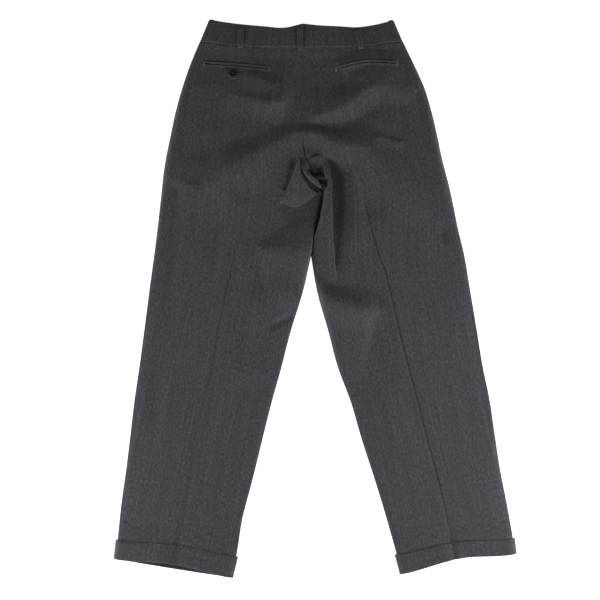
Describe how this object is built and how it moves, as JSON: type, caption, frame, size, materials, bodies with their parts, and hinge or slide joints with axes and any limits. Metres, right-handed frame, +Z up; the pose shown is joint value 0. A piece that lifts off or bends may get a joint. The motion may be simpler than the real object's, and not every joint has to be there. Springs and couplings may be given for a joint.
{
  "type": "pleated dress trousers",
  "caption": "Charcoal wool dress trousers with front pleats, jetted back pockets and turn-up cuffs, laid flat with the back upwards.",
  "frame": {"origin": "below the middle of the garment as it lies, on the surface under it", "axes": "+X to the wearer's right, +Y along the legs to the waist, +Z up from the surface, out of the back of the garment"},
  "size_m": [0.7879, 1.0901, 0.022],
  "materials": {
    "suiting": "matte",
    "button": "gloss",
    "thread": "satin"
  },
  "bodies": {
    "root": {"back_panel_left": "suiting", "back_panel_right": "suiting", "front_panel_left": "suiting", "front_panel_right": "suiting", "waistband_left": "suiting", "waistband_right": "suiting", "cuff_back_left": "suiting", "cuff_back_right": "suiting", "cuff_front_left": "suiting", "cuff_front_right": "suiting", "belt_loop_back_left": "suiting", "belt_loop_back_centre": "suiting", "belt_loop_back_right": "suiting", "belt_loop_front_1": "suiting", "belt_loop_front_2": "suiting", "belt_loop_front_3": "suiting", "belt_loop_front_4": "suiting", "pocket_jet_upper_left": "suiting", "pocket_jet_lower_left": "suiting", "pocket_jet_upper_right": "suiting", "pocket_jet_lower_right": "suiting", "pocket_button": "button"}
  },
  "joints": []
}
